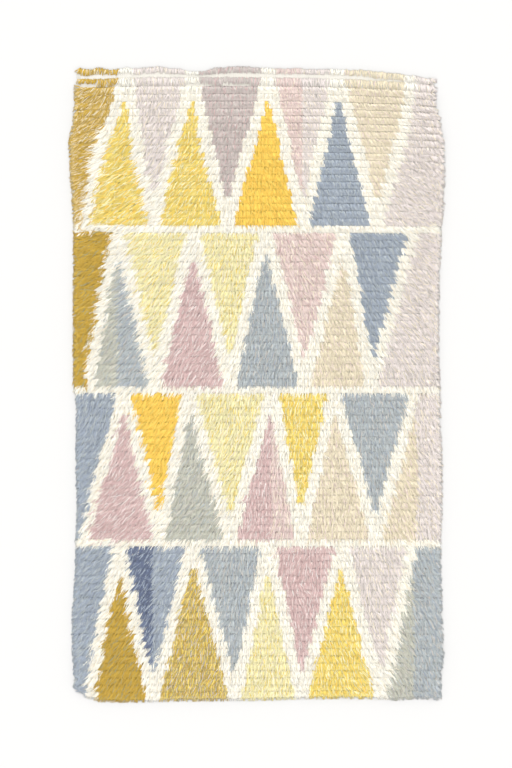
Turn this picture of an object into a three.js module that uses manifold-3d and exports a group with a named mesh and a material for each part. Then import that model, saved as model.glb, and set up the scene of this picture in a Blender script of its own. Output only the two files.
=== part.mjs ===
// A rya rug, lying flat on a floor with its pile up.
// It is one woven piece: a ground 3 mm thick, knotted row by row with wool pile that lies down
// towards the foot of the rug, so that each row laps over the next one like a shingle.
// Millimetres, +Z up. X runs across the width and +Y towards the head. The underside is at z = 0.
import * as THREE from "three";
import { mergeVertices } from "three/addons/utils/BufferGeometryUtils.js";
import Module from "manifold-3d";

const wasm = await Module();
wasm.setup();

// Driving sizes: the knots set the size of the rug
const KNOT_PITCH = 10;
const KNOTS_ACROSS = 98;
const ROW_PITCH = 20;
const PILE_ROWS = 86;
const GROUND_THICK = 3;
const PILE_OVER = 5; // of the pile past the last knot on each side
const WIDTH = KNOT_PITCH * KNOTS_ACROSS + 2 * PILE_OVER;

// The two rows at the head stand apart and leave bare strips of the ground between them
const HEAD_ROWS = [
  { root: 2, tips: 18 },
  { root: 28, tips: 42 },
];
const CLOSE_ROWS_START = 49;
const CLOSE_ROWS = PILE_ROWS - HEAD_ROWS.length;
const LENGTH = CLOSE_ROWS_START + CLOSE_ROWS * ROW_PITCH;

// Heights of the pile above the floor
const CREST = 14.5;
const VALLEY = 8.5;
const HEAD_CREST = 10;
const CREST_AT = 0.7; // of the way from one row of knots to the next
const SHOULDER = 0.86; // height kept at the edge's shoulder
const RIM_HEIGHT = 6.5;
const SHOULDER_IN = 16; // from the edge to the shoulder
const CORNER_IN = 64; // from the edge to where the cut corners end
const LUMP = 1.4; // how much the crest rises and falls over the rug
const PANELS = 10; // facets of the pile's surface between the two corners

// Locks of pile that reach past the rim
const SIDE_LOCK = { length: 26, rootWide: 13, tipWide: 6, rootHigh: 6, tipHigh: 2.4 };
const FOOT_LOCK = { length: 24, rootWide: 7, tipWide: 4.5, rootHigh: 6, tipHigh: 2.4 };
const SIDE_ROOT_IN = 9; // from the ground's edge in to a side lock's root
const FOOT_REACH = 13; // of a foot lock past the ground's edge
const FOOT_LOCKS = 98;
const SIDE_LOCK_DOWN = 52; // degrees that a side lock leans from straight out towards the foot
const LEAN_SWING = 14; // degrees by which one lock's lean differs from the next
const FOOT_SLANT_LEFT = -24; // degrees off straight down at the left end of the foot
const FOOT_SLANT_RIGHT = 20;

// How far each side bows out of a straight edge. Down is measured from the head.
const SIDE_BOWS = [
  { down: 0, left: 0, right: -10 },
  { down: 90, left: 0, right: -8 },
  { down: 125, left: 2, right: 2 },
  { down: 200, left: 13, right: 13 },
  { down: 280, left: 10, right: 12 },
  { down: 360, left: 4, right: 9 },
  { down: 445, left: 1, right: 2 },
  { down: 610, left: 2, right: -3 },
  { down: 780, left: 2, right: -4 },
  { down: 860, left: 2, right: -1 },
  { down: 940, left: -6, right: 0 },
  { down: 1100, left: -5, right: 5 },
  { down: 1190, left: -8, right: 4 },
  { down: 1350, left: -4, right: 1 },
  { down: 1510, left: 5, right: 5 },
  { down: 1600, left: 4, right: 9 },
  { down: 1680, left: 0, right: 2 },
  { down: 1800, left: 0, right: 1 },
];

// How the rows near the head bow, how the hem ripples more than they do, and how the foot is trimmed.
// Across is measured from the middle of the width. Plus is towards the head.
const END_LINES = [
  { across: -500, bow: -7, ripple: 6, foot: 30 },
  { across: -460, bow: -6, ripple: 1, foot: 9 },
  { across: -430, bow: -5, ripple: 4, foot: 1 },
  { across: -400, bow: -3, ripple: -2, foot: 0 },
  { across: -350, bow: -1, ripple: 1, foot: 0 },
  { across: -280, bow: 0, ripple: 2, foot: 1 },
  { across: -215, bow: 0, ripple: -2, foot: 3 },
  { across: -185, bow: 0, ripple: -9, foot: 3 },
  { across: -150, bow: 0, ripple: -8, foot: 3 },
  { across: -115, bow: 0, ripple: 1, foot: 4 },
  { across: -35, bow: 0, ripple: 4, foot: 4 },
  { across: 0, bow: 0, ripple: 0, foot: 5 },
  { across: 115, bow: -1, ripple: 0, foot: 8 },
  { across: 150, bow: -2, ripple: -2, foot: 9 },
  { across: 240, bow: -5, ripple: 0, foot: 10 },
  { across: 345, bow: -10, ripple: 0, foot: 8 },
  { across: 380, bow: -12, ripple: -3, foot: 5 },
  { across: 430, bow: -16, ripple: -4, foot: 9 },
  { across: 500, bow: -24, ripple: -7, foot: 6 },
];
const BOW_FADES_OVER = 260;
const RIPPLE_FADES_OVER = 22;
const FOOT_TRIM_OVER = 34;

const radians = THREE.MathUtils.degToRad;

// Reads one column of a table at a place between its rows, smoothly.
function read(table, key, place, column) {
  let after = table.findIndex((row) => row[key] >= place);
  if (after < 0) after = table.length - 1;
  const before = Math.max(after - 1, 0);
  const span = table[after][key] - table[before][key];
  const part = span > 0 ? THREE.MathUtils.clamp((place - table[before][key]) / span, 0, 1) : 0;
  const eased = part * part * (3 - 2 * part);
  return THREE.MathUtils.lerp(table[before][column], table[after][column], eased);
}

// Places a point of the flat cloth, given across its width and down its length, where it lies.
function lies(across, down) {
  const bowed = read(END_LINES, "across", across, "bow") * Math.exp(-down / BOW_FADES_OVER);
  const near = Math.max(0, 1 - down / RIPPLE_FADES_OVER);
  const rippled = read(END_LINES, "across", across, "ripple") * near;
  const last = Math.max(0, 1 - (LENGTH - down) / FOOT_TRIM_OVER);
  const trimmed = read(END_LINES, "across", across, "foot") * last;
  const out = read(SIDE_BOWS, "down", down, across < 0 ? "left" : "right");
  const share = Math.abs(across) / (WIDTH / 2);
  return {
    x: across + Math.sign(across) * out * share ** 3,
    y: LENGTH / 2 - down + bowed + rippled + trimmed,
  };
}

// A slow rise and fall, from -1 to 1, so that no two stretches of pile stand alike.
function lump(across, down) {
  const wave = Math.sin(across / 61 + down / 47) + Math.sin(across / 29 - down / 83 + 2);
  const turn = Math.sin(across / 97 - down / 22 + 4) + Math.sin(down / 13 + across / 190);
  return (wave + turn) / 4;
}

// The lines across the rug between which its surface runs, from the head to the foot
function surfaceLines() {
  const lines = [{ down: 0, high: GROUND_THICK + 2 }];
  for (const { root, tips } of HEAD_ROWS) {
    const crest = THREE.MathUtils.lerp(root, tips, CREST_AT);
    if (root > HEAD_ROWS[0].root) lines.push({ down: root, high: GROUND_THICK });
    lines.push({ down: crest, high: HEAD_CREST });
    lines.push({ down: tips, high: GROUND_THICK });
  }
  for (let row = 0; row < CLOSE_ROWS; row += 1) {
    const root = CLOSE_ROWS_START + row * ROW_PITCH;
    lines.push({ down: root, high: row ? VALLEY : GROUND_THICK });
    lines.push({ down: root + CREST_AT * ROW_PITCH, high: CREST });
  }
  lines.push({ down: LENGTH, high: RIM_HEIGHT });
  return lines;
}

// The places across the rug that each line is drawn through: rim, shoulder, facets, shoulder, rim
function surfacePlaces() {
  const half = WIDTH / 2;
  const corner = half - CORNER_IN;
  const places = [-half, SHOULDER_IN - half];
  for (let panel = 0; panel <= PANELS; panel += 1)
    places.push(THREE.MathUtils.lerp(-corner, corner, panel / PANELS));
  places.push(half - SHOULDER_IN, half);
  return places;
}

function heightAt(line, across, down) {
  const fromEdge = WIDTH / 2 - Math.abs(across);
  const full = line.high + (line.high > GROUND_THICK + 2 ? LUMP * lump(across, down) : 0);
  if (fromEdge < 1) return Math.min(line.high, RIM_HEIGHT);
  return fromEdge < SHOULDER_IN + 1 ? Math.max(GROUND_THICK, full * SHOULDER) : full;
}

// The lumpy slab of ground and pile, as one closed skin
function slabGeometry() {
  const lines = surfaceLines();
  const places = surfacePlaces();
  const wide = places.length;
  const points = [];
  for (const line of lines)
    for (const across of places) {
      const { x, y } = lies(across, line.down);
      points.push(x, y, heightAt(line, across, line.down));
    }
  const at = (line, place) => line * wide + place;
  const faces = [];
  for (let line = 0; line + 1 < lines.length; line += 1)
    for (let place = 0; place + 1 < wide; place += 1) {
      faces.push(at(line, place), at(line + 1, place), at(line + 1, place + 1));
      faces.push(at(line, place), at(line + 1, place + 1), at(line, place + 1));
    }
  // The border runs anticlockwise from above: down the left side, along the foot, up the right side, along the head
  const lastLine = lines.length - 1;
  const lastPlace = wide - 1;
  const border = [];
  for (let line = 0; line < lastLine; line += 1) border.push(at(line, 0));
  for (let place = 0; place < lastPlace; place += 1) border.push(at(lastLine, place));
  for (let line = lastLine; line > 0; line -= 1) border.push(at(line, lastPlace));
  for (let place = lastPlace; place > 0; place -= 1) border.push(at(0, place));
  const floorStart = points.length / 3;
  const outline = border.map((i) => new THREE.Vector2(points[3 * i], points[3 * i + 1]));
  for (const { x, y } of outline) points.push(x, y, 0);
  border.forEach((top, i) => {
    const next = (i + 1) % border.length;
    faces.push(top, floorStart + i, floorStart + next);
    faces.push(top, floorStart + next, border[next]);
  });
  for (const [a, b, c] of THREE.ShapeUtils.triangulateShape(outline, []))
    faces.push(floorStart + a, floorStart + c, floorStart + b);
  const geometry = new THREE.BufferGeometry();
  geometry.setAttribute("position", new THREE.Float32BufferAttribute(points, 3));
  geometry.setIndex(faces);
  return geometry;
}

// One lock of pile: three sides, level on the floor, tapering from its root to its cut tip.
// Lean is its direction in degrees, anticlockwise from +X.
function lockGeometry(root, lean, size) {
  const corners = [];
  for (const end of [0, 1]) {
    const wide = end ? size.tipWide : size.rootWide;
    const high = end ? size.tipHigh : size.rootHigh;
    const along = end * size.length;
    corners.push([along, -wide / 2, 0], [along, wide / 2, 0], [along, 0, high]);
  }
  const ends = [0, 2, 1, 3, 4, 5];
  const sides = [0, 1, 2].flatMap((a) => {
    const b = (a + 1) % 3;
    return [a, b, b + 3, a, b + 3, a + 3];
  });
  const geometry = new THREE.BufferGeometry();
  geometry.setAttribute("position", new THREE.Float32BufferAttribute(corners.flat(), 3));
  geometry.setIndex([...ends, ...sides]);
  geometry.rotateZ(radians(lean));
  geometry.translate(root.x, root.y, 0);
  return geometry;
}

// The locks at the ends of the rows, down both sides
function sideLocks() {
  const locks = [];
  for (let row = 0; row < CLOSE_ROWS; row += 1) {
    const down = CLOSE_ROWS_START + (row + CREST_AT / 2) * ROW_PITCH;
    for (const side of [-1, 1]) {
      const turn = SIDE_LOCK_DOWN + LEAN_SWING * Math.sin(row * 2.4 + side);
      const root = lies(side * (WIDTH / 2), down);
      root.x -= side * SIDE_ROOT_IN;
      locks.push(lockGeometry(root, side > 0 ? -turn : 180 + turn, SIDE_LOCK));
    }
  }
  return locks;
}

// The tips of the last row, which hang over the foot of the ground
function footLocks() {
  const locks = [];
  const step = (WIDTH - 2 * KNOT_PITCH) / (FOOT_LOCKS - 1);
  for (let knot = 0; knot < FOOT_LOCKS; knot += 1) {
    const across = -WIDTH / 2 + KNOT_PITCH + knot * step;
    const slant = THREE.MathUtils.lerp(FOOT_SLANT_LEFT, FOOT_SLANT_RIGHT, knot / (FOOT_LOCKS - 1));
    const root = lies(across, LENGTH);
    const reach = FOOT_REACH + 3 * Math.sin(knot * 2.1) + 2 * Math.sin(knot * 0.37);
    root.y += FOOT_LOCK.length * Math.cos(radians(slant)) - reach;
    root.x -= (FOOT_LOCK.length - reach) * Math.sin(radians(slant));
    locks.push(lockGeometry(root, -90 + slant, FOOT_LOCK));
  }
  return locks;
}

function solid(geometry) {
  const bare = geometry.clone();
  bare.deleteAttribute("normal");
  bare.deleteAttribute("uv");
  const merged = mergeVertices(bare, 1e-4);
  return new wasm.Manifold(
    new wasm.Mesh({
      numProp: 3,
      vertProperties: merged.attributes.position.array,
      triVerts: new Uint32Array(merged.index.array),
    }),
  );
}

function geometryOf(manifold) {
  const mesh = manifold.getMesh();
  const geometry = new THREE.BufferGeometry();
  geometry.setAttribute("position", new THREE.BufferAttribute(mesh.vertProperties, 3));
  geometry.setIndex(new THREE.BufferAttribute(mesh.triVerts, 1));
  return geometry;
}

const locks = [...sideLocks(), ...footLocks()].map(solid);
const rugSolid = locks.reduce((whole, lock) => whole.add(lock), solid(slabGeometry()));
const rugGeometry = geometryOf(rugSolid);

// The origin is the middle of the rug's own footprint, on the floor
rugGeometry.computeBoundingBox();
const middle = rugGeometry.boundingBox.getCenter(new THREE.Vector3());
rugGeometry.translate(-middle.x, -middle.y, -rugGeometry.boundingBox.min.z);
rugGeometry.computeVertexNormals();

const wool = new THREE.MeshStandardMaterial({ color: 0xdccfb6, roughness: 0.95, metalness: 0 });
const rug = new THREE.Mesh(rugGeometry, wool);
rug.name = "pile_rug";

const group = new THREE.Group();
group.add(rug);

export default group;
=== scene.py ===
import bpy
import numpy as np
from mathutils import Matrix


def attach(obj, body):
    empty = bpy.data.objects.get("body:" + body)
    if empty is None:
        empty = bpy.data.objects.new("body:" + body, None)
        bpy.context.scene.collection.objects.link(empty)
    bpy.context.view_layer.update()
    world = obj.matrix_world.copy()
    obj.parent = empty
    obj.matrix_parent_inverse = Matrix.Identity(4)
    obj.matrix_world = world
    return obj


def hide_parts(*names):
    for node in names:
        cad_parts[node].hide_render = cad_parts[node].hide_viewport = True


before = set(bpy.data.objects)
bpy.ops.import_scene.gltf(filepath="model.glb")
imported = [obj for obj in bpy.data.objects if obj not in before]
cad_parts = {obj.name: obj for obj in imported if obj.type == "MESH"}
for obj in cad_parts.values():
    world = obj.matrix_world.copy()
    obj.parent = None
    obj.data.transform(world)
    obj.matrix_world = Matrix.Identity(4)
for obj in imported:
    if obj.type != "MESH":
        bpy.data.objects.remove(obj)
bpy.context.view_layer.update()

MM = 0.001
TURN = 6.283  # one full turn, in radians

# The loom: the knots set the size of the rug. Millimetres here, as in the part's source.
KNOT_PITCH = 10
KNOTS_ACROSS = 98
ROW_PITCH = 20
PILE_OVER = 5
GROUND_THICK = 3
HEAD_ROOTS = (2, 28)  # the two rows at the head, with a bare strip of ground below each
CLOSE_ROWS_START = 49
CLOSE_ROWS = 84
PILE_ROWS = len(HEAD_ROOTS) + CLOSE_ROWS
WIDTH = KNOT_PITCH * KNOTS_ACROSS + 2 * PILE_OVER
LENGTH = CLOSE_ROWS_START + CLOSE_ROWS * ROW_PITCH

# From the middle of the ground to the middle of the rug's footprint, which is the origin
FOOTPRINT_MIDDLE = (0.6, -7.5)

# How far each side bows out of a straight edge, down from the head
SIDE_BOWS = (
    {"down": 0, "left": 0, "right": -10},
    {"down": 90, "left": 0, "right": -8},
    {"down": 125, "left": 2, "right": 2},
    {"down": 200, "left": 13, "right": 13},
    {"down": 280, "left": 10, "right": 12},
    {"down": 360, "left": 4, "right": 9},
    {"down": 445, "left": 1, "right": 2},
    {"down": 610, "left": 2, "right": -3},
    {"down": 780, "left": 2, "right": -4},
    {"down": 860, "left": 2, "right": -1},
    {"down": 940, "left": -6, "right": 0},
    {"down": 1100, "left": -5, "right": 5},
    {"down": 1190, "left": -8, "right": 4},
    {"down": 1350, "left": -4, "right": 1},
    {"down": 1510, "left": 5, "right": 5},
    {"down": 1600, "left": 4, "right": 9},
    {"down": 1680, "left": 0, "right": 2},
    {"down": 1800, "left": 0, "right": 1},
)

# How the rows near the head bow, how the hem ripples beyond that, and how the foot is trimmed
END_LINES = (
    {"across": -500, "bow": -7, "ripple": 6, "foot": 30},
    {"across": -460, "bow": -6, "ripple": 1, "foot": 9},
    {"across": -430, "bow": -5, "ripple": 4, "foot": 1},
    {"across": -400, "bow": -3, "ripple": -2, "foot": 0},
    {"across": -350, "bow": -1, "ripple": 1, "foot": 0},
    {"across": -280, "bow": 0, "ripple": 2, "foot": 1},
    {"across": -215, "bow": 0, "ripple": -2, "foot": 3},
    {"across": -185, "bow": 0, "ripple": -9, "foot": 3},
    {"across": -150, "bow": 0, "ripple": -8, "foot": 3},
    {"across": -115, "bow": 0, "ripple": 1, "foot": 4},
    {"across": -35, "bow": 0, "ripple": 4, "foot": 4},
    {"across": 0, "bow": 0, "ripple": 0, "foot": 5},
    {"across": 115, "bow": -1, "ripple": 0, "foot": 8},
    {"across": 150, "bow": -2, "ripple": -2, "foot": 9},
    {"across": 240, "bow": -5, "ripple": 0, "foot": 10},
    {"across": 345, "bow": -10, "ripple": 0, "foot": 8},
    {"across": 380, "bow": -12, "ripple": -3, "foot": 5},
    {"across": 430, "bow": -16, "ripple": -4, "foot": 9},
    {"across": 500, "bow": -24, "ripple": -7, "foot": 6},
)
BOW_FADES_OVER = 260
RIPPLE_FADES_OVER = 22
FOOT_TRIM_OVER = 34
BOW_POWER = 3  # a bow of the sides moves the outer cloth most

# How the pile lies, stretch by stretch: which way its tips lean, in degrees off straight down,
# plus towards the right, and how long it is
PILE_LIES = (
    {"across": -480, "down": 60, "lean": -62, "long": 35},
    {"across": -370, "down": 90, "lean": 6, "long": 21},
    {"across": -480, "down": 220, "lean": -74, "long": 40},
    {"across": -390, "down": 290, "lean": -56, "long": 42},
    {"across": -290, "down": 290, "lean": -50, "long": 41},
    {"across": -480, "down": 400, "lean": -74, "long": 38},
    {"across": -480, "down": 560, "lean": -60, "long": 37},
    {"across": -190, "down": 250, "lean": -46, "long": 38},
    {"across": -190, "down": 100, "lean": -8, "long": 21},
    {"across": -60, "down": 60, "lean": 0, "long": 21},
    {"across": -60, "down": 330, "lean": -3, "long": 27},
    {"across": 60, "down": 360, "lean": 26, "long": 32},
    {"across": 120, "down": 120, "lean": 20, "long": 21},
    {"across": 240, "down": 200, "lean": 14, "long": 20},
    {"across": 250, "down": 340, "lean": 14, "long": 20},
    {"across": 360, "down": 160, "lean": 22, "long": 22},
    {"across": 460, "down": 140, "lean": 32, "long": 24},
    {"across": 400, "down": 330, "lean": 48, "long": 33},
    {"across": 480, "down": 420, "lean": 62, "long": 38},
    {"across": -160, "down": 520, "lean": -33, "long": 39},
    {"across": -20, "down": 600, "lean": -13, "long": 34},
    {"across": 110, "down": 540, "lean": 34, "long": 37},
    {"across": 240, "down": 640, "lean": 20, "long": 28},
    {"across": 420, "down": 660, "lean": 46, "long": 41},
    {"across": -350, "down": 720, "lean": -46, "long": 43},
    {"across": -150, "down": 790, "lean": -28, "long": 43},
    {"across": 60, "down": 900, "lean": -9, "long": 36},
    {"across": -380, "down": 1250, "lean": -46, "long": 44},
    {"across": -170, "down": 1180, "lean": -35, "long": 42},
    {"across": 40, "down": 1250, "lean": -2, "long": 35},
    {"across": 230, "down": 1050, "lean": 5, "long": 31},
    {"across": 430, "down": 1150, "lean": 26, "long": 41},
    {"across": -440, "down": 1560, "lean": -44, "long": 42},
    {"across": -300, "down": 1430, "lean": -32, "long": 41},
    {"across": -170, "down": 1600, "lean": -14, "long": 34},
    {"across": 60, "down": 1560, "lean": -1, "long": 34},
    {"across": 220, "down": 1500, "lean": 5, "long": 30},
    {"across": 370, "down": 1600, "lean": 28, "long": 40},
    {"across": 460, "down": 1450, "lean": 27, "long": 39},
)
STRETCH_CORE = 60  # closer to a stretch than this, its say hardly grows
STRETCH_POWER = 1.5  # and further off it falls with the cube of the distance

# Slow changes over the cloth: how strong they are, and the size of their patches
DRIFT_SPREAD = 0.6  # of the chance values that they are made from
LEAN_DRIFT = {"by": 9, "patch": 55}
LONG_DRIFT = {"by": 2.5, "patch": 70}

# Shorter pile stands upright and longer pile lies combed, like shingles
COMBED_FROM = 22
COMBED_TO = 28
UPRIGHT_TRIM = 2.5  # upright pile is this much shorter, so that its rows part

# The two rows at the head. The first is longer towards the right.
HEAD_OVER = (-3, -4)  # how far the strands of each head row roll back over their knots
HEAD_WAVES = (2.0, 0.6)  # how far each head row waves off its line
HEAD_WAVE_PATCH = 26
HEAD_LONG = 15.5
HEAD_LONGER_BY = 7
HEAD_LONGER_FROM = 230
HEAD_LONGER_TO = 400
SECOND_LONG = 27.0
BLENDED_SLOTS = 4  # the strands of a head knot past these are all of its main yarn

# Where the second row of knots at the head is too short to hide the bare strip below it
BARE_STRETCHES = (
    {"start": -495, "end": -441, "long": 13},
    {"start": -404, "end": -377, "long": 18},
    {"start": -314, "end": -303, "long": 18},
    {"start": -196, "end": -120, "long": 18.5},
    {"start": -100, "end": -22, "long": 18.5},
)

# Dyed yarns, as display colours from 0 to 255
YARNS = {
    "ivory": (250, 248, 240),
    "bone": (251, 247, 234),
    "cream": (244, 234, 213),
    "lemon": (243, 237, 191),
    "yellow": (239, 216, 114),
    "gold": (251, 212, 101),
    "mustard": (205, 171, 74),
    "olive": (176, 168, 122),
    "slate": (166, 176, 190),
    "navy": (110, 121, 147),
    "steel": (188, 195, 197),
    "straw": (226, 204, 150),
    "grey": (206, 201, 194),
    "mauve": (208, 197, 194),
    "sage": (204, 204, 190),
    "rose": (217, 188, 186),
    "pink": (232, 214, 209),
    "lilac": (234, 225, 222),
    "sand": (234, 224, 198),
}

# How many of a knot's seven strands are of each yarn, for each colour of the chart. The first
# yarn is the main one.
BLENDS = {
    "outline": {"ivory": 3, "bone": 3, "cream": 1},
    "lemon": {"lemon": 5, "cream": 1, "yellow": 1},
    "yellow": {"yellow": 4, "lemon": 2, "gold": 1},
    "gold": {"gold": 6, "yellow": 1},
    "mustard": {"mustard": 4, "straw": 2, "sand": 1},
    "ochre": {"mustard": 6, "olive": 1},
    "moss": {"olive": 3, "mustard": 2, "straw": 2},
    "lime": {"mustard": 2, "yellow": 2, "olive": 1, "straw": 1, "grey": 1},
    "slate": {"slate": 5, "steel": 2},
    "navy": {"navy": 5, "slate": 2},
    "steel": {"steel": 5, "slate": 1, "grey": 1},
    "sage": {"sage": 5, "grey": 1, "steel": 1},
    "mauve": {"mauve": 4, "grey": 2, "rose": 1},
    "rose": {"rose": 5, "pink": 1, "lilac": 1},
    "pink": {"pink": 5, "rose": 1, "cream": 1},
    "lilac": {"lilac": 5, "cream": 1, "grey": 1},
    "beige": {"sand": 5, "cream": 1, "pink": 1},
}
STRANDS_PER_KNOT = 7

# The chart: bands of tall stepped triangles that stand and hang by turns, from left to right.
# Turns are the knots where the pale line between them meets the foot and the head of the band.
# A field of two colours is parted down its middle.
BANDS = (
    {
        "rows": 21,
        "turns": (3, 13, 22, 31, 41, 52, 61, 71, 81, 92),
        "fields": "mustard yellow lilac yellow mauve gold pink/lilac slate beige lilac moss",
    },
    {
        "rows": 22,
        "turns": (4, 12, 22, 32, 42, 51, 62, 72, 80, 91),
        "fields": "ochre sage/steel lemon rose lemon steel pink beige slate lilac beige",
    },
    {
        "rows": 21,
        "turns": (2, 13, 23, 31, 42, 53, 61, 70, 81, 92),
        "fields": "slate rose gold sage lemon rose/pink yellow beige steel beige/lilac sage",
    },
    {
        "rows": 22,
        "turns": (4, 12, 21, 32, 43, 52, 61, 72, 82, 91),
        "fields": "slate ochre navy/slate lime steel lemon rose yellow lilac sage/steel pink",
    },
)
OUTLINE_KNOTS = 3.1  # width of the pale line between two triangles

# One strand
YARN_RADIUS = 1.15
FUZZ = 0.25  # how far the wool's fuzz evens out the light and the dark side of a strand
STRAND_SIDES = 3
STRAND_BENDS = 2
EARLY_BEND = 1.3  # the power that draws a strand's bends towards its root
PLY_TURNS = 3.5  # turns of the two plies around each other, along a strand
CUT_END = 0.85  # a strand's radius at its tip, as a share
ROOT_HIGH = 2.4  # inside the ground
GUIDES = ("root", "rise", "drape", "tip")  # the points that shape a strand
RISE_AT = 0.07  # shares of the strand's reach
DRAPE_AT = 0.55
CELL_MARGIN = 0.07  # around each strand's own part of the flat map

# What differs between upright pile, combed pile and the two rows at the head
BY_LIE = {
    "fan": (13, 7, 15),  # how far apart the strands of a knot point, in degrees
    "turn": (3, 9, 0),  # how far a whole knot points aside, in degrees
    "stagger": (3.2, 5, 2.2),  # how far a strand lies up or down from its row
    "shortest": (0.6, 0.42, 0.86),  # reach of the steepest strand, as a share
    "rounding": (0.2, 0.32, 0.1),  # how much less the outer strands of a knot reach
    "crown": (1.9, 1.6, 1),  # how much lower the outer strands of a knot are
    "uneven": (1.7, 1.8, 1.0),  # of the height at which strands come out of the knot
    "root wide": (3.6, 3.6, 8.2),
    "rise wide": (4.4, 6.2, 8.2),
    "rise high": (10.5, 9.5, 7),
    "drape wide": (7.2, 6.6, 8.4),
    "drape high": (12, 12, 7),
    "drape steep": (1.5, 2.6, 0),  # how much higher the steepest strand is
    "tip wide": (8.2, 6.2, 8.4),
    "tip high": (9.5, 9.8, 4.5),
    "tip steep": (3, 5, 0),
}
FURTHEST = 1.04  # reach of the flattest strand, as a share
SWEPT_FROM = 30  # from this lean, in degrees, a knot's strands fan out more
SWEPT_TO = 70  # and from this one fully so
FAN_SWEPT = 6
FAN_AT_RIM = 12
STAGGER_SWEPT = 5
STAGGER_GROWS = 6  # a strand's stagger is whole at one sixth of its reach
CURL = 1.5  # how far a strand's tip curls aside
HEAD_CURL = 0.6
CURL_BEND = 3  # how much further its middle bends the other way
LIFT_UNEVEN = 0.35  # of the height of each strand
KNOT_LIFT = 0.2  # and of a whole knot
GIRTH_UNEVEN = 0.08
HEAD_GIRTH = 1.1
ROW_SHADE = 0.8  # how far neighbouring knots share a shade
# Painted shade on the two rows at the head:
HEAD_PAINTED_SHADE = 1.5  # how much darker the head rows are

# The loops of yarn over two warps, seen between rows where the pile is short
KNOT_HALF = 2.4
KNOT_HIGH = 7.6
KNOT_SPLAY = 0.8
KNOT_GIRTH = 1.3
KNOTS_SHOW_UNDER = 23.5

# The rim: the pile sweeps outwards over the edge of the ground and is trimmed there
SWEEP_WITHIN = 32
SIDE_SWEEP = 42
SWEEP_MOST = 60
SIDE_REACH = 9
SIDE_UNEVEN = 1.3
FOOT_REACH = 10.5
FOOT_UNEVEN = 0.5
RIM_FALL_OVER = 9  # strands come down to the floor over this distance, past the ground's edge
RIM_FALL_EARLY = 0.25  # and start this share of it before the edge
FLOOR_GAP = 1.2  # height of a strand's middle over the floor, in radii
EDGE_KNOTS = 3  # the outermost knots of each row have twice the strands

# The lower part of the pile, row by row: where it rises and how far it reaches
# Its shade is painted shade: 1 is none, and lower is darker.
COAT_PROFILE = (
    {"reach": -0.08, "high": 3.0, "uneven": 0.0, "shade": 0.66},
    {"reach": 0.1, "high": 7.0, "uneven": 0.5, "shade": 0.85},
    {"reach": 0.78, "high": 7.6, "uneven": 0.6, "shade": 1.0},
    {"reach": 0.88, "high": 6.6, "uneven": 0.6, "shade": 0.9},
    {"reach": 1.02, "high": 4.4, "uneven": 1.0, "shade": 0.66},
)
COAT_REACH = 23
COAT_LEAN = 55
COAT_SIDE = WIDTH / 2 + 5
COAT_FOOT = LENGTH + FOOT_REACH - 3
COAT_MARGIN = 0.01  # around each cell of the flat map, as a share

SEED = 1961


def column(table, name):
    return np.array([row[name] for row in table], float)


def smooth(part):
    return part * part * (3 - 2 * part)


def eased(value, start, end):
    return smooth(np.clip((value - start) / (end - start), 0, 1))


def read(table, key, place, name):
    """One column of a table at places between its rows, smoothly."""
    keys, values = column(table, key), column(table, name)
    after = np.clip(np.searchsorted(keys, place), 1, len(keys) - 1)
    part = eased(place, keys[after - 1], keys[after])
    return values[after - 1] + (values[after] - values[after - 1]) * part


def lies(across, down, high):
    """Where a point of the flat cloth lies, in metres in the rug's frame."""
    bowed = read(END_LINES, "across", across, "bow") * np.exp(-down / BOW_FADES_OVER)
    near_head = np.clip(1 - down / RIPPLE_FADES_OVER, 0, None)
    rippled = read(END_LINES, "across", across, "ripple") * near_head
    near_foot = np.clip(1 - (LENGTH - down) / FOOT_TRIM_OVER, 0, 1)
    trimmed = read(END_LINES, "across", across, "foot") * near_foot
    left = read(SIDE_BOWS, "down", down, "left")
    right = read(SIDE_BOWS, "down", down, "right")
    share = np.abs(across) / (WIDTH / 2)
    x = across + np.sign(across) * np.where(across < 0, left, right) * share**BOW_POWER
    y = LENGTH / 2 - down + bowed + rippled + trimmed
    return np.stack([x - FOOTPRINT_MIDDLE[0], y - FOOTPRINT_MIDDLE[1], high + 0 * x], -1) * MM


def pile_at(across, down, name):
    """The lean or the length of the pile: its stretches' own, each counting more the nearer it is."""
    total, weight = 0, 0
    for stretch in PILE_LIES:
        far = (across - stretch["across"]) ** 2 + (down - stretch["down"]) ** 2
        near = 1 / (far + STRETCH_CORE**2) ** STRETCH_POWER
        total = total + near * stretch[name]
        weight = weight + near
    return total / weight


def swept(lean, across):
    """The lean of the pile with its outward sweep near the sides, and the share of that sweep."""
    share = eased(WIDTH / 2 - np.abs(across), SWEEP_WITHIN, 0)
    outwards = np.sign(across)
    return lean + outwards * share * np.clip(SIDE_SWEEP - outwards * lean, 0, SWEEP_MOST), share


def charted(row, knot):
    """The blend of one knot, from the chart."""
    for band in BANDS:
        if row < band["rows"]:
            break
        row -= band["rows"]
    if row == 0 and band is not BANDS[0]:
        return "outline"
    middle = knot + 0.5
    part = (row + 0.5) / band["rows"]
    turns = band["turns"]
    field = 0
    for number, (start, end) in enumerate(zip(turns, turns[1:])):
        foot, head = (start, end) if number % 2 == 0 else (end, start)
        line = head + (foot - head) * part
        if abs(middle - line) < OUTLINE_KNOTS / 2:
            return "outline"
        if middle > line:
            field = number + 1
    halves = band["fields"].split()[field].split("/")
    return halves[-1] if middle > turns[field] else halves[0]


def knot_places():
    """The middle of each knot: its row, its number in the row, across and down."""
    row, knot = np.divmod(np.arange(PILE_ROWS * KNOTS_ACROSS), KNOTS_ACROSS)
    close = CLOSE_ROWS_START + (row - len(HEAD_ROOTS)) * ROW_PITCH
    down = np.where(row == 0, HEAD_ROOTS[0], np.where(row == 1, HEAD_ROOTS[1], close))
    across = (knot + 0.5 - KNOTS_ACROSS / 2) * KNOT_PITCH
    return row, knot, across.astype(float), down.astype(float)


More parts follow.
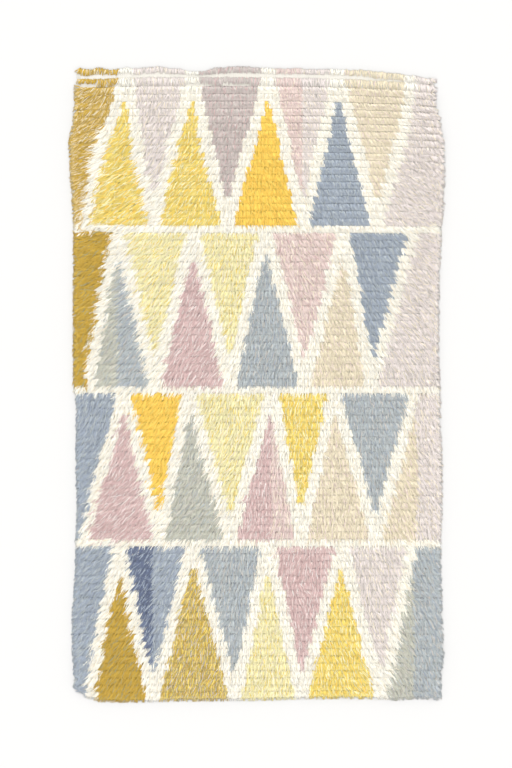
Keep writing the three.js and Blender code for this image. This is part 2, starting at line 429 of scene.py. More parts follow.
def drift(random, across, down, size):
    """A slow random change over the cloth, about -1 to 1, from a grid of chance values."""
    grid = random.normal(0, DRIFT_SPREAD, (int(LENGTH / size) + 3, int(WIDTH / size) + 3))
    x, y = (across + WIDTH / 2) / size, np.maximum(down, 0) / size
    column_at, row_at = np.floor(x).astype(int), np.floor(y).astype(int)
    u, v = smooth(x - column_at), smooth(y - row_at)
    upper = grid[row_at, column_at] * (1 - u) + grid[row_at, column_at + 1] * u
    lower = grid[row_at + 1, column_at] * (1 - u) + grid[row_at + 1, column_at + 1] * u
    return upper * (1 - v) + lower * v


def strand_knots():
    """The knots that strands come from, and each strand's place in its knot."""
    row, knot, across, down = knot_places()
    slot = np.tile(np.arange(STRANDS_PER_KNOT), len(row))
    knots = np.repeat(np.arange(len(row)), STRANDS_PER_KNOT)
    outer = (knot < EDGE_KNOTS) | (knot >= KNOTS_ACROSS - EDGE_KNOTS) | (row == PILE_ROWS - 1)
    more = outer[knots]
    knots = np.concatenate([knots, knots[more]])
    place = np.concatenate([slot, slot[more] + 0.5]) / (STRANDS_PER_KNOT - 1) - 0.5
    slot = np.concatenate([slot, slot[more]])
    return row[knots], across[knots], down[knots], knots, slot, place


def spun(blend):
    """The yarns of a knot's strands, as numbers in the list of yarns."""
    names = list(YARNS)
    return np.repeat([names.index(name) for name in blend], list(blend.values()))


def strand_table():
    """Every strand of the pile: its four guide points, its girth, its shade and its yarn."""
    random = np.random.default_rng(SEED)
    row, across, down, knots, slot, place = strand_knots()
    count = len(row)
    all_rows, all_knots, _, _ = knot_places()
    blends = np.array([spun(BLENDS[charted(r, k)]) for r, k in zip(all_rows, all_knots)])
    order = np.argsort(random.random(blends.shape), axis=1)
    yarn = np.take_along_axis(blends, order, 1)[knots, slot]

    head = row < len(HEAD_ROOTS)
    head_row = np.minimum(row, 1)
    yarn = np.where(head & (slot >= BLENDED_SLOTS), blends[knots, 0], yarn)
    lean_drift = LEAN_DRIFT["by"] * drift(random, across, down, LEAN_DRIFT["patch"])
    lean = pile_at(across, down, "lean") + lean_drift
    long_drift = LONG_DRIFT["by"] * drift(random, across, down, LONG_DRIFT["patch"])
    long = pile_at(across, down, "long") + long_drift
    combed = eased(long, COMBED_FROM, COMBED_TO)
    lean, sweep = swept(np.where(head, 0, lean), across)
    wavy = np.take(HEAD_WAVES, head_row) * drift(random, across, down, HEAD_WAVE_PATCH)
    down = down + np.where(head, np.take(HEAD_OVER, head_row) + wavy, 0)
    first = HEAD_LONG + HEAD_LONGER_BY * eased(across, HEAD_LONGER_FROM, HEAD_LONGER_TO)
    second = np.full(count, SECOND_LONG)
    for stretch in BARE_STRETCHES:
        bare = (across > stretch["start"]) & (across < stretch["end"])
        second = np.where(bare, stretch["long"], second)
    long = long - UPRIGHT_TRIM * (1 - combed)
    long = np.where(row == 0, first, np.where(row == 1, second, long))

    def by_lie(name):
        upright, shingled, at_head = BY_LIE[name]
        return np.where(head, at_head, upright + (shingled - upright) * combed)

    # The strands of a knot fan out, and more the flatter along the row they are swept
    flat_swept = eased(np.abs(lean), SWEPT_FROM, SWEPT_TO)
    fan = by_lie("fan") + FAN_SWEPT * flat_swept + FAN_AT_RIM * sweep
    knot_own = random.normal(0, 1, len(blends))[knots]
    lean = np.radians(lean + fan * random.normal(0, 1, count) + by_lie("turn") * knot_own)
    most_swept = np.where(head, 0, np.maximum(flat_swept, sweep))
    stagger = by_lie("stagger") + STAGGER_SWEPT * most_swept
    stagger = stagger * random.uniform(-1, 1, count)

    # One that stands steeper reaches less far, and its cut end is higher
    shortest = by_lie("shortest")
    reaches = random.uniform(shortest, FURTHEST)
    steep = np.where(head, 0, (FURTHEST - reaches) / (FURTHEST - shortest))
    long = long * reaches * (1 - by_lie("rounding") * place**2)
    aside, ahead = np.sin(lean), np.cos(lean)
    curl = random.normal(0, CURL, count) * np.where(head, HEAD_CURL, 1)
    side_reach = WIDTH / 2 + SIDE_REACH + random.normal(0, SIDE_UNEVEN, count)
    foot_reach = LENGTH + FOOT_REACH + random.normal(0, FOOT_UNEVEN, count)
    lift = random.normal(0, LIFT_UNEVEN, count) + KNOT_LIFT * knot_own
    lift = lift - by_lie("crown") * (2 * place) ** 2
    uneven = by_lie("uneven") * random.normal(0, 1, count)

    def guide(reach, wide, high):
        bend = curl * np.sin(reach * np.pi) * CURL_BEND - curl * reach
        out = across + place * wide + aside * long * reach + ahead * bend
        on = down + ahead * long * reach - aside * bend
        on = on + stagger * np.where(head, 1, min(1, STAGGER_GROWS * reach))
        beyond = np.maximum(np.abs(out) - WIDTH / 2, on - LENGTH) / RIM_FALL_OVER
        over = np.clip(beyond + RIM_FALL_EARLY, 0, 1)
        out = np.clip(out, -side_reach, side_reach)
        on = np.minimum(on, foot_reach)
        floor = YARN_RADIUS * FLOOR_GAP
        return lies(out, on, high + (floor - high) * over * (reach > 0))

    points = {
        "root": guide(0, by_lie("root wide"), ROOT_HIGH),
        "rise": guide(RISE_AT, by_lie("rise wide"), by_lie("rise high") + lift + uneven),
    }
    for name, reach in (("drape", DRAPE_AT), ("tip", 1)):
        high = by_lie(f"{name} high") + by_lie(f"{name} steep") * steep + lift
        points[name] = guide(reach, by_lie(f"{name} wide"), high)
    girth = random.normal(1, GIRTH_UNEVEN, count) * np.where(head, HEAD_GIRTH, 1)
    by_row = drift(random, across, down, ROW_PITCH)
    # Each strand's own shade, its row's, and painted shade on the head rows
    shade = random.normal(0, 1, count) + ROW_SHADE * by_row - HEAD_PAINTED_SHADE * head
    return points, girth, shade, yarn, random


def knot_table(random, yarn):
    """The loops of yarn over the warps, where the pile is too short to hide them."""
    row, _, across, down = knot_places()
    seen = (pile_at(across, down, "long") < KNOTS_SHOW_UNDER) & (row >= len(HEAD_ROOTS))
    across, down = across[seen], down[seen]
    points = {
        "root": lies(across - KNOT_HALF, down, ROOT_HIGH),
        "rise": lies(across - KNOT_HALF - KNOT_SPLAY, down, KNOT_HIGH),
        "drape": lies(across + KNOT_HALF + KNOT_SPLAY, down, KNOT_HIGH),
        "tip": lies(across + KNOT_HALF, down, ROOT_HIGH),
    }
    count = len(across)
    first = yarn[: PILE_ROWS * KNOTS_ACROSS * STRANDS_PER_KNOT : STRANDS_PER_KNOT]
    girth = random.normal(KNOT_GIRTH, GIRTH_UNEVEN, count)
    return points, girth, random.normal(1, 1, count), first[seen]


# Node helpers


def add_node(tree, kind, inputs=None, **settings):
    made = tree.nodes.new(kind)
    for name, value in settings.items():
        setattr(made, name, value)
    for name, value in (inputs or {}).items():
        if isinstance(value, bpy.types.NodeSocket):
            tree.links.new(value, made.inputs[name])
        else:
            made.inputs[name].default_value = value
    return made


def maths(tree, operation, *values):
    made = add_node(tree, "ShaderNodeMath", dict(enumerate(values)), operation=operation)
    return made.outputs[0]


def vectors(tree, operation, *values):
    made = add_node(tree, "ShaderNodeVectorMath", dict(enumerate(values)), operation=operation)
    return made.outputs[0]


def scaled(tree, vector, scale):
    inputs = {"Vector": vector, "Scale": scale}
    return add_node(tree, "ShaderNodeVectorMath", inputs, operation="SCALE").outputs[0]


def between(tree, start, end, part):
    step = scaled(tree, vectors(tree, "SUBTRACT", end, start), part)
    return vectors(tree, "ADD", start, step)


def split(tree, vector):
    return add_node(tree, "ShaderNodeSeparateXYZ", {0: vector}).outputs


def rest_of(tree, value):
    """What a value leaves of 1."""
    return maths(tree, "SUBTRACT", 1.0, value)


def off_middle(tree, value):
    """A value from 0 to 1, measured from its middle."""
    return maths(tree, "SUBTRACT", value, 0.5)


# Geometry nodes


def named(tree, name, kind):
    found = add_node(tree, "GeometryNodeInputNamedAttribute", {"Name": name}, data_type=kind)
    return found.outputs["Attribute"]


def stored(tree, geometry, name, kind, domain, value):
    inputs = {"Geometry": geometry, "Name": name, "Value": value}
    made = add_node(tree, "GeometryNodeStoreNamedAttribute", inputs, data_type=kind, domain=domain)
    return made.outputs["Geometry"]


def straight_strands(tree, given):
    """One straight strand at each root, which remembers where on it each vertex is."""
    sizes = {
        "Vertices": given["Sides"],
        "Side Segments": given["Bends"],
        "Radius": 1.0,
        "Depth": 1.0,
    }
    strand = add_node(tree, "GeometryNodeMeshCylinder", sizes, fill_type="NGON")
    place = tree.nodes.new("GeometryNodeInputPosition").outputs[0]
    straight = stored(tree, strand.outputs["Mesh"], "straight", "FLOAT_VECTOR", "POINT", place)
    straight = stored(tree, straight, "around", "FLOAT2", "CORNER", strand.outputs["UV Map"])
    copies = {"Points": given["Roots"], "Instance": straight}
    laid = add_node(tree, "GeometryNodeInstanceOnPoints", copies).outputs[0]
    number = tree.nodes.new("GeometryNodeInputIndex").outputs[0]
    counted = stored(tree, laid, "strand", "INT", "INSTANCE", number)
    return add_node(tree, "GeometryNodeRealizeInstances", {"Geometry": counted}).outputs[0]


def strand_radius(tree, given, along):
    """The radius of the yarn, which narrows to the cut end."""
    radius = maths(tree, "MULTIPLY", named(tree, "girth", "FLOAT"), given["Yarn radius"])
    narrowed = maths(tree, "MULTIPLY", rest_of(tree, given["Cut end"]), along)
    return maths(tree, "MULTIPLY", radius, rest_of(tree, narrowed))


def section_of(tree, given, index):
    """The strand's section, each strand's turned at random."""
    chances = {"Min": 0.0, "Max": TURN, "ID": index, "Seed": given["Seed"]}
    turn = add_node(tree, "FunctionNodeRandomValue", chances, data_type="FLOAT")
    place = {"Vector": named(tree, "straight", "FLOAT_VECTOR"), "Angle": turn.outputs["Value"]}
    turned = add_node(tree, "ShaderNodeVectorRotate", place, rotation_type="Z_AXIS")
    return split(tree, turned.outputs[0])


def flat_cell(tree, given, index):
    """A flat map with a cell for each strand."""
    across = given["Cells across"]
    corner = {
        0: maths(tree, "MODULO", index, across),
        1: maths(tree, "FLOOR", maths(tree, "DIVIDE", index, across)),
    }
    cell = add_node(tree, "ShaderNodeCombineXYZ", corner).outputs[0]
    size = (1 - 2 * CELL_MARGIN, 1 - 2 * CELL_MARGIN, 0.0)
    margin = (CELL_MARGIN, CELL_MARGIN, 0.0)
    inside = vectors(tree, "MULTIPLY_ADD", named(tree, "around", "FLOAT_VECTOR"), size, margin)
    return scaled(tree, vectors(tree, "ADD", cell, inside), maths(tree, "DIVIDE", 1.0, across))


def pile_tree():
    """Geometry Nodes that lay one strand of yarn along the four guide points of each root."""
    tree = bpy.data.node_groups.new("pile_strands", "GeometryNodeTree")
    sockets = (
        ("Roots", "NodeSocketGeometry"),
        ("Sides", "NodeSocketInt"),
        ("Bends", "NodeSocketInt"),
        ("Early bend", "NodeSocketFloat"),
        ("Yarn radius", "NodeSocketFloat"),
        ("Cut end", "NodeSocketFloat"),
        ("Cells across", "NodeSocketFloat"),
        ("Seed", "NodeSocketInt"),
        ("Wool", "NodeSocketMaterial"),
    )
    for name, kind in sockets:
        tree.interface.new_socket(name, in_out="INPUT", socket_type=kind)
    tree.interface.new_socket("Pile", in_out="OUTPUT", socket_type="NodeSocketGeometry")
    given = tree.nodes.new("NodeGroupInput").outputs
    pile = straight_strands(tree, given)

    # The way along the strand, by halving the guide lines again and again
    high = split(tree, named(tree, "straight", "FLOAT_VECTOR"))["Z"]
    along = maths(tree, "POWER", maths(tree, "ADD", high, 0.5), given["Early bend"])
    line = [named(tree, name, "FLOAT_VECTOR") for name in GUIDES]
    while len(line) > 2:
        line = [between(tree, a, b, along) for a, b in zip(line, line[1:])]
    middle = between(tree, line[0], line[1], along)
    heading = vectors(tree, "NORMALIZE", vectors(tree, "SUBTRACT", line[1], line[0]))
    side = vectors(tree, "NORMALIZE", vectors(tree, "CROSS_PRODUCT", heading, (0.0, 0.0, 1.0)))
    under = vectors(tree, "CROSS_PRODUCT", heading, side)

    # The surface of the yarn around that way
    index = named(tree, "strand", "INT")
    section = section_of(tree, given, index)
    radius = strand_radius(tree, given, along)
    off_side = scaled(tree, side, maths(tree, "MULTIPLY", section["X"], radius))
    off_under = scaled(tree, under, maths(tree, "MULTIPLY", section["Y"], radius))
    surface = vectors(tree, "ADD", middle, vectors(tree, "ADD", off_side, off_under))
    moved = {"Geometry": pile, "Position": surface}
    pile = add_node(tree, "GeometryNodeSetPosition", moved).outputs[0]
    pile = stored(tree, pile, "along", "FLOAT", "POINT", along)
    pile = stored(tree, pile, "OFBake", "FLOAT2", "CORNER", flat_cell(tree, given, index))

    dyed = {"Geometry": pile, "Material": given["Wool"]}
    pile = add_node(tree, "GeometryNodeSetMaterial", dyed).outputs[0]
    out = tree.nodes.new("NodeGroupOutput")
    tree.links.new(pile, out.inputs["Pile"])
    return tree


# Materials

WOOL_BRIGHT = 1.05
WOOL_ROUGH = 0.93
WOOL_SHEEN = 0.12
WOOL_SHEEN_ROUGH = 0.5
WOOL_BUMP = {"strength": 0.6, "deep": 0.001}
DYE_PATCHES = 9.0  # to a metre
# Painted shade near each strand's root:
ROOT_PAINTED_SHADE_POWER = 9.0  # the higher, the closer to the root
# Painted shade in the groove between the two plies:
PAINTED_GROOVE_POWER = 2.0  # the higher, the narrower the groove between the plies
FIBRES = 1500.0  # to a metre
FIBRE_RELIEF = 0.5
# Painted shade on strands that lie close to the floor:
FLOOR_PAINTED_SHADE_FROM = 2  # strands that lie close to the floor are darker, fully at this height
FLOOR_PAINTED_SHADE_UNDER = 6.5
WOOL_SHINE = 0.15

GROUND_WOOL = (206, 203, 195)
GROUND_ROUGH = 0.95
GROUND_SHEEN = 0.2
GROUND_BUMP = {"strength": 0.6, "deep": 0.0008}
WARP_PITCH = KNOT_PITCH / 2
PICK_PITCH = 1.6
GROUND_FIBRES = 900.0
GROUND_PATCHES = 14.0
GROUND_TONE = 0.95
PATCH_TONE = 0.08
WEAVE_PAINTED_SHADING = 0.03

COAT_ROUGH = 0.95
COAT_BUMP = {"strength": 0.8, "deep": 0.0015}
COMBED_ALONG = 0.7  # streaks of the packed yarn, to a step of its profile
COMBED_WANDER = 3.0
# Painted shade: the undercoat is darker than its yarns, deep in the pile
COAT_PAINTED_SHADE_TONE = 0.66
STREAK_TONE = 0.3
# Painted shading: each round yarn of the undercoat is lighter along its middle
RIDGE_PAINTED_SHADING = 0.2
# Painted shade in the gaps between two knots:
GAP_POWER = 3.0  # the higher, the narrower the gap between two knots
GAP_LIGHTEST = 1.15  # gaps show less the lighter the shade is, and not at this
GAP_PAINTED_SHADE = 0.6


def linear(colour):
    part = np.array(colour, float) / 255
    return tuple(np.where(part <= 0.04045, part / 12.92, ((part + 0.055) / 1.055) ** 2.4)) + (1.0,)


def kept(tree, name, output):
    """What a piece keeps for each of its points or corners."""
    return add_node(tree, "ShaderNodeAttribute", attribute_name=name).outputs[output]


def noise(tree, place, scale, detail):
    inputs = {"Vector": place, "Scale": scale, "Detail": detail}
    return add_node(tree, "ShaderNodeTexNoise", inputs).outputs["Fac"]


def object_place(tree):
    return tree.nodes.new("ShaderNodeTexCoord").outputs["Object"]


def new_material(name, rough):
    material = bpy.data.materials.new(name)
    material.use_nodes = True
    tree = material.node_tree
    shader = tree.nodes["Principled BSDF"]
    shader.inputs["Roughness"].default_value = rough
    shader.inputs["Specular IOR Level"].default_value = WOOL_SHINE
    return material, tree, shader


def bumped(tree, shader, height, bump):
    inputs = {"Height": height, "Strength": bump["strength"], "Distance": bump["deep"]}
    made = add_node(tree, "ShaderNodeBump", inputs)
    tree.links.new(made.outputs[0], shader.inputs["Normal"])


def wool_group():
    """Dyed wool: each strand its own shade, a slow change in the dye, and a ply that twists, with
    painted shade near the root, in the grooves between the plies and close to the floor.
    """
    tree = bpy.data.node_groups.new("dyed_wool", "ShaderNodeTree")
    for name, kind, value in (
        ("Dye", "NodeSocketColor", (1.0, 1.0, 1.0, 1.0)),
        ("Strand spread", "NodeSocketFloat", 0.03),
        ("Dye spread", "NodeSocketFloat", 0.05),
        ("Root painted shade", "NodeSocketFloat", 0.6),
        ("Floor painted shade", "NodeSocketFloat", 0.8),
        ("Ply groove painted shade", "NodeSocketFloat", 0.25),
        ("Fibre shade", "NodeSocketFloat", 0.16),
    ):
        made = tree.interface.new_socket(name, in_out="INPUT", socket_type=kind)
        made.default_value = value
    tree.interface.new_socket("Color", in_out="OUTPUT", socket_type="NodeSocketColor")
    tree.interface.new_socket("Height", in_out="OUTPUT", socket_type="NodeSocketFloat")
    given = tree.nodes.new("NodeGroupInput").outputs
    out = tree.nodes.new("NodeGroupOutput")
    along = kept(tree, "along", "Fac")
    place = object_place(tree)

    # The dye, each strand's own shade, and painted shade near the root, where the strands come out of
    # the knots
    uneven = noise(tree, place, DYE_PATCHES, 2.0)
    by_dye = maths(tree, "MULTIPLY", off_middle(tree, uneven), given["Dye spread"])
    by_strand = maths(tree, "MULTIPLY", kept(tree, "shade", "Fac"), given["Strand spread"])
    near_root = maths(tree, "POWER", rest_of(tree, along), ROOT_PAINTED_SHADE_POWER)
    root_painted_shade = maths(tree, "SUBTRACT", given["Root painted shade"], 1.0)
    root = maths(tree, "MULTIPLY", root_painted_shade, near_root)
    bright = maths(tree, "ADD", WOOL_BRIGHT, root)
    bright = maths(tree, "ADD", bright, maths(tree, "ADD", by_strand, by_dye))

    # Painted shade on what lies close to the floor
    heights = {
        "Value": split(tree, place)["Z"],
        "From Min": FLOOR_PAINTED_SHADE_FROM * MM,
        "From Max": FLOOR_PAINTED_SHADE_UNDER * MM,
        "To Min": given["Floor painted shade"],
        "To Max": 1.0,
    }
    floor_painted_shade = add_node(tree, "ShaderNodeMapRange", heights).outputs[0]
    bright = maths(tree, "MULTIPLY", bright, floor_painted_shade)

    # The two plies, with painted shade in the groove between them, and the fibres
    around = maths(tree, "MULTIPLY", split(tree, kept(tree, "around", "Vector"))["X"], TURN)
    lap = maths(tree, "MULTIPLY_ADD", along, PLY_TURNS * TURN, around)
    rounded = maths(tree, "ABSOLUTE", maths(tree, "SINE", lap))
    groove_painted_shade = maths(tree, "POWER", rest_of(tree, rounded), PAINTED_GROOVE_POWER)
    fibre = noise(tree, place, FIBRES, 2.0)
    bright = maths(tree, "SUBTRACT", bright, maths(tree, "MULTIPLY", groove_painted_shade, given["Ply groove painted shade"]))
    by_fibre = maths(tree, "MULTIPLY", off_middle(tree, fibre), given["Fibre shade"])
    bright = maths(tree, "ADD", bright, by_fibre)
    tree.links.new(scaled(tree, given["Dye"], bright), out.inputs["Color"])
    height = maths(tree, "MULTIPLY_ADD", fibre, FIBRE_RELIEF, rounded)
    tree.links.new(height, out.inputs["Height"])
    return tree


def wool_material(name, colour, group):
    """One dye bath of pile yarn."""
    material, tree, shader = new_material(f"wool_{name}", WOOL_ROUGH)
    wool = add_node(tree, "ShaderNodeGroup", node_tree=group)
    wool.inputs["Dye"].default_value = linear(colour)
    tree.links.new(wool.outputs["Color"], shader.inputs["Base Color"])
    bumped(tree, shader, wool.outputs["Height"], WOOL_BUMP)
    shader.inputs["Sheen Weight"].default_value = WOOL_SHEEN
    shader.inputs["Sheen Roughness"].default_value = WOOL_SHEEN_ROUGH
    return material


def ground_material():
    """The bare ground: off-white wool, beaten up into fine ribs over the warps."""
    material, tree, shader = new_material("ground_weave", GROUND_ROUGH)
    place = object_place(tree)
    at = split(tree, place)
    warps = maths(tree, "SINE", maths(tree, "MULTIPLY", at["X"], TURN / (WARP_PITCH * MM)))
    picks = maths(tree, "SINE", maths(tree, "MULTIPLY", at["Y"], TURN / (PICK_PITCH * MM)))
    woven = maths(tree, "MULTIPLY", maths(tree, "ADD", warps, picks), 0.5)
    fibre = noise(tree, place, GROUND_FIBRES, 3.0)
    soiled = noise(tree, place, GROUND_PATCHES, 3.0)
    tone = maths(tree, "MULTIPLY_ADD", soiled, PATCH_TONE, GROUND_TONE)
    # Painted shading: a little lighter on the ribs and darker between them
    tone = maths(tree, "MULTIPLY_ADD", woven, WEAVE_PAINTED_SHADING, tone)
    colour = scaled(tree, linear(GROUND_WOOL)[:3], tone)
    tree.links.new(colour, shader.inputs["Base Color"])
    bumped(tree, shader, maths(tree, "ADD", woven, fibre), GROUND_BUMP)
    shader.inputs["Sheen Weight"].default_value = GROUND_SHEEN
    return material


def undercoat_material():
    """Packed yarn seen between the strands: the chart's colours, combed the way the pile lies,
    darkened by painted shade.
    """
    material, tree, shader = new_material("wool_undercoat", COAT_ROUGH)
    place = kept(tree, "combed", "Vector")
    combed = vectors(tree, "MULTIPLY", place, (STRANDS_PER_KNOT, COMBED_ALONG, 0.0))
    streaks = noise(tree, combed, 1.0, 2.0)

    # Round yarns side by side, which wander, with painted shading: lighter along their middles,
    # darker at their sides
    wander = maths(tree, "MULTIPLY_ADD", streaks, COMBED_WANDER, split(tree, combed)["X"])
    side = off_middle(tree, maths(tree, "FRACT", wander))
    round_yarn = rest_of(tree, maths(tree, "MULTIPLY", maths(tree, "MULTIPLY", side, side), 4.0))
    ridge = maths(tree, "SQRT", maths(tree, "MAXIMUM", round_yarn, 0.0))
    tone = maths(tree, "MULTIPLY_ADD", streaks, STREAK_TONE, COAT_PAINTED_SHADE_TONE)
    tone = maths(tree, "MULTIPLY_ADD", ridge, RIDGE_PAINTED_SHADING, tone)

    # Painted shade: darker where the profile's shade is, and most in the gaps between two knots
    shade = kept(tree, "shade", "Fac")
    knot_part = maths(tree, "FRACT", split(tree, place)["X"])
    knot_side = maths(tree, "ABSOLUTE", off_middle(tree, knot_part))
    gap_painted_shade = maths(tree, "POWER", maths(tree, "MULTIPLY", knot_side, 2.0), GAP_POWER)
    gap_painted_shade = maths(tree, "MULTIPLY", gap_painted_shade, maths(tree, "SUBTRACT", GAP_LIGHTEST, shade))
    with_painted_shade = maths(tree, "SUBTRACT", shade, maths(tree, "MULTIPLY", gap_painted_shade, GAP_PAINTED_SHADE))
    tone = maths(tree, "MULTIPLY", tone, with_painted_shade)
    colour = scaled(tree, kept(tree, "dye", "Color"), tone)
    tree.links.new(colour, shader.inputs["Base Color"])
    bumped(tree, shader, ridge, COAT_BUMP)
    return material


# Pieces


def piece_from(name, mesh):
    piece = bpy.data.objects.new(name, mesh)
    bpy.context.scene.collection.objects.link(piece)
    return piece


def keep(mesh, name, kind, domain, field, values):
    """Keep a value for each point or corner of a mesh, for the nodes to read."""
    kept_values = mesh.attributes.new(name, kind, domain).data
    kept_values.foreach_set(field, values.astype("f4").ravel())


def shade_smooth(mesh):
    mesh.polygons.foreach_set("use_smooth", np.ones(len(mesh.polygons), bool))


def pile_piece(name, tree, points, girth, shade, material):
    """All the strands of one yarn, laid by Geometry Nodes and turned into a plain mesh."""
    count = len(girth)
    roots = bpy.data.meshes.new(f"{name}_roots")
    roots.from_pydata(np.zeros((count, 3)), [], [])
    for key, values in points.items():
        keep(roots, key, "FLOAT_VECTOR", "POINT", "vector", values)
    keep(roots, "girth", "FLOAT", "POINT", "value", girth)
    keep(roots, "shade", "FLOAT", "POINT", "value", shade)
    piece = piece_from(name, roots)
    settings = {
        "Sides": STRAND_SIDES,
        "Bends": STRAND_BENDS,
        "Early bend": EARLY_BEND,
        "Yarn radius": YARN_RADIUS * MM,
        "Cut end": CUT_END,
        "Cells across": float(np.ceil(np.sqrt(count))),
        "Seed": SEED,
        "Wool": material,
    }
    laying = piece.modifiers.new("laying", "NODES")
    laying.node_group = tree
    for socket in tree.interface.items_tree:
        if socket.name in settings:
            laying[socket.identifier] = settings[socket.name]
    seen = bpy.context.evaluated_depsgraph_get()
    mesh = bpy.data.meshes.new_from_object(piece.evaluated_get(seen), depsgraph=seen)
    piece.modifiers.clear()
    piece.data = mesh
    mesh.name = name
    for key in (*GUIDES, "girth", "straight", "strand"):
        mesh.attributes.remove(mesh.attributes[key])
    shade_smooth(mesh)

    # The fuzz turns the surface's light a little upwards
    facing = np.empty(len(mesh.vertices) * 3, "f4")
    mesh.vertex_normals.foreach_get("vector", facing)
    facing = facing.reshape(-1, 3) * (1 - FUZZ) + np.array((0, 0, FUZZ), "f4")
    facing /= np.linalg.norm(facing, axis=1)[:, None]
    mesh.normals_split_custom_set_from_vertices(facing.tolist())
    return piece


def blend_colour(row, knot):
    """The mean colour of a knot's yarns."""
    blend = BLENDS[charted(row, knot)]
    colours = [linear(YARNS[name])[:3] for name in blend]
    return np.average(colours, axis=0, weights=list(blend.values()))


def undercoat_mesh(material):
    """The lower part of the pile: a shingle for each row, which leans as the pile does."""
    random = np.random.default_rng(SEED + 1)
    rows = np.arange(len(HEAD_ROOTS), PILE_ROWS)
    row_down = CLOSE_ROWS_START + (rows - len(HEAD_ROOTS)) * ROW_PITCH
    edges = (np.arange(KNOTS_ACROSS + 1) - KNOTS_ACROSS / 2) * KNOT_PITCH
    down, across = np.meshgrid(row_down, edges, indexing="ij")
    lean, _ = swept(pile_at(across, down, "lean"), across)
    long = pile_at(across, down, "long")
    lean = np.radians(np.clip(lean, -COAT_LEAN, COAT_LEAN))
    reach = np.minimum(long * np.cos(lean), COAT_REACH)
    out, on, high = [], [], []
    for step in COAT_PROFILE:
        out.append(np.clip(across + step["reach"] * reach * np.tan(lean), -COAT_SIDE, COAT_SIDE))
        on.append(np.minimum(down + step["reach"] * reach, COAT_FOOT))
        high.append(step["high"] + random.normal(0, step["uneven"], across.shape))
    points = lies(np.stack(out, -1), np.stack(on, -1), np.stack(high, -1))

    # A face for each knot and each step of the profile
    number = np.arange(points[..., 0].size).reshape(points.shape[:-1])
    corners = [number[:, :-1, :-1], number[:, :-1, 1:], number[:, 1:, 1:], number[:, 1:, :-1]]
    faces = np.stack(corners, -1)
    mesh = bpy.data.meshes.new("pile_undercoat")
    mesh.from_pydata(points.reshape(-1, 3), [], faces.reshape(-1, 4).tolist())
    mesh.materials.append(material)
    knots = [[blend_colour(row, knot) for knot in range(KNOTS_ACROSS)] for row in rows]
    colours = np.ones((*faces.shape, 4))
    colours[..., :3] = np.array(knots)[:, :, None, None, :]
    keep(mesh, "dye", "FLOAT_COLOR", "CORNER", "color", colours)
    # Painted shade along the profile, from none to twice as deep, at random from point to point
    painted_dark = 1 - column(COAT_PROFILE, "shade")
    painted_shades = 1 - painted_dark * random.uniform(0, 2, points.shape[:-1])
    keep(mesh, "shade", "FLOAT", "POINT", "value", painted_shades)

    # The way along the yarn, and a flat map with a cell for each face
    steps = len(COAT_PROFILE) - 1
    cell = np.zeros((*faces.shape, 2))
    cell[..., 0] = np.arange(KNOTS_ACROSS)[:, None, None] + np.array((0, 0, 1, 1))
    step_at = np.arange(steps)[:, None] + np.array((0, 1, 1, 0))
    cell[..., 1] = np.arange(len(rows))[:, None, None, None] * steps + step_at
    keep(mesh, "combed", "FLOAT2", "CORNER", "vector", cell)
    flat = (cell * (1 - 2 * COAT_MARGIN) + COAT_MARGIN) / (KNOTS_ACROSS, len(rows) * steps)
    mesh.uv_layers.new(name="OFBake").data.foreach_set("uv", flat.astype("f4").ravel())
    shade_smooth(mesh)
    return mesh


GROUND_FINE_UNTIL = CLOSE_ROWS_START + 10
GROUND_FINE_STEP = 4.0
EDGE_ROUNDED_BY = 1.2
EDGE_ROUNDED_OVER = 1.5


def ground_mesh(material):
    """The woven ground as one thin closed sheet, finer near the head, where it shows."""
    head = np.arange(0, GROUND_FINE_UNTIL, GROUND_FINE_STEP)
    close = np.linspace(GROUND_FINE_UNTIL, LENGTH, CLOSE_ROWS // 2 + 1)
    down = np.concatenate([head, close])
    across = np.linspace(-WIDTH / 2, WIDTH / 2, KNOTS_ACROSS // 2 + 1)
    a, d = np.meshgrid(across, down)
    edge = np.minimum(WIDTH / 2 - np.abs(a), np.minimum(d, LENGTH - d))
    top = GROUND_THICK - EDGE_ROUNDED_BY * np.exp(-edge / EDGE_ROUNDED_OVER)
    upper = lies(a, d, top).reshape(-1, 3)
    lower = lies(a, d, np.zeros_like(a)).reshape(-1, 3)
    rows, columns = a.shape
    total = rows * columns
    number = np.arange(total).reshape(rows, columns)
    corners = [number[:-1, :-1], number[1:, :-1], number[1:, 1:], number[:-1, 1:]]
    quads = np.stack(corners, -1).reshape(-1, 4)
    rim = np.concatenate([number[:, 0], number[-1, 1:], number[-2::-1, -1], number[0, -2:0:-1]])
    after = np.roll(rim, -1)
    walls = np.stack([rim, rim + total, after + total, after], -1)
    faces = np.concatenate([quads, quads[:, ::-1] + total, walls])
    mesh = bpy.data.meshes.new("ground")
    mesh.from_pydata(np.concatenate([upper, lower]), [], faces.tolist())
    mesh.materials.append(material)
    shade_smooth(mesh)
    return mesh


# The rug
ground = piece_from("ground", ground_mesh(ground_material()))
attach(ground, "root")
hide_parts("pile_rug")

points, girth, shade, yarn, random = strand_table()
loops, loop_girth, loop_shade, loop_yarn = knot_table(random, yarn)
points = {key: np.concatenate([points[key], loops[key]]) for key in GUIDES}
girth = np.concatenate([girth, loop_girth])
shade = np.concatenate([shade, loop_shade])
yarn = np.concatenate([yarn, loop_yarn])
tree = pile_tree()
wool = wool_group()
for number, (name, colour) in enumerate(YARNS.items()):
    mine = yarn == number
    own = {key: values[mine] for key, values in points.items()}
    material = wool_material(name, colour, wool)
    piece = pile_piece(f"pile_{name}", tree, own, girth[mine], shade[mine], material)
    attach(piece, "root")
    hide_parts("pile_rug")

coat = piece_from("pile_undercoat", undercoat_mesh(undercoat_material()))
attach(coat, "root")
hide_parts("pile_rug")

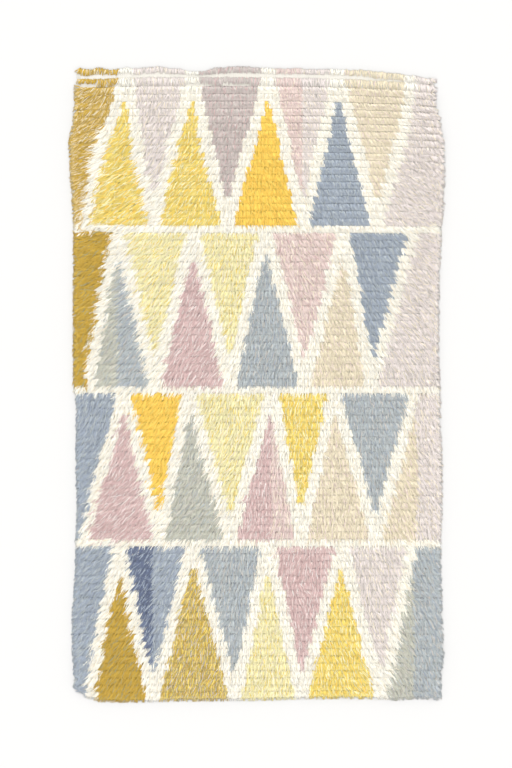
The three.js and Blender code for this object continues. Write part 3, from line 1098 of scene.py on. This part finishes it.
# The floor, the light and the camera
FLOOR_HALF = 6.0
FLOOR_GREY = (0.537, 0.537, 0.537, 1)
FLOOR_ROUGH = 0.9
FLOOR_SHINE = 0.1
SKY_COLOUR = (1.0, 0.995, 0.985, 1)
SKY_STRENGTH = 1.58
WINDOW_COLOUR = (1.0, 0.985, 0.96)
WINDOW_STRENGTH = 1.3
WINDOW_WIDE = 0.6  # as an angle, in radians
WINDOW_TILT = (-42, -16)  # in degrees, towards the head and the left
PIXEL = 2.745  # millimetres of rug to a pixel of the photograph
PHOTO_SIZE = (512, 768)
RUG_MIDDLE_PIXEL = (257.5, 386.5)
LENS = 85.0
SENSOR = 36.0


def floor():
    mesh = bpy.data.meshes.new("floor")
    half = FLOOR_HALF
    corners = [(-half, -half, 0), (half, -half, 0), (half, half, 0), (-half, half, 0)]
    mesh.from_pydata(corners, [], [(0, 1, 2, 3)])
    material, _, shader = new_material("floor", FLOOR_ROUGH)
    shader.inputs["Base Color"].default_value = FLOOR_GREY
    shader.inputs["Specular IOR Level"].default_value = FLOOR_SHINE
    mesh.materials.append(material)
    piece_from("floor", mesh)


def light():
    world = bpy.data.worlds.new("studio")
    world.use_nodes = True
    sky = world.node_tree.nodes["Background"]
    sky.inputs["Color"].default_value = SKY_COLOUR
    sky.inputs["Strength"].default_value = SKY_STRENGTH
    bpy.context.scene.world = world
    lamp = bpy.data.lights.new("window", "SUN")
    lamp.energy = WINDOW_STRENGTH
    lamp.angle = WINDOW_WIDE
    lamp.color = WINDOW_COLOUR
    window = bpy.data.objects.new("window", lamp)
    window.rotation_euler = (*np.radians(WINDOW_TILT), 0)
    bpy.context.scene.collection.objects.link(window)


def camera():
    view = bpy.data.cameras.new("camera")
    view.lens = LENS
    view.sensor_width = SENSOR
    eye = bpy.data.objects.new("camera", view)
    tall = PHOTO_SIZE[1] * PIXEL * MM
    aim_x = (PHOTO_SIZE[0] / 2 - RUG_MIDDLE_PIXEL[0]) * PIXEL * MM
    aim_y = (RUG_MIDDLE_PIXEL[1] - PHOTO_SIZE[1] / 2) * PIXEL * MM
    eye.location = (aim_x, aim_y, tall * LENS / SENSOR)
    bpy.context.scene.collection.objects.link(eye)
    bpy.context.scene.camera = eye


floor()
light()
camera()
bpy.context.scene.view_settings.view_transform = "Standard"
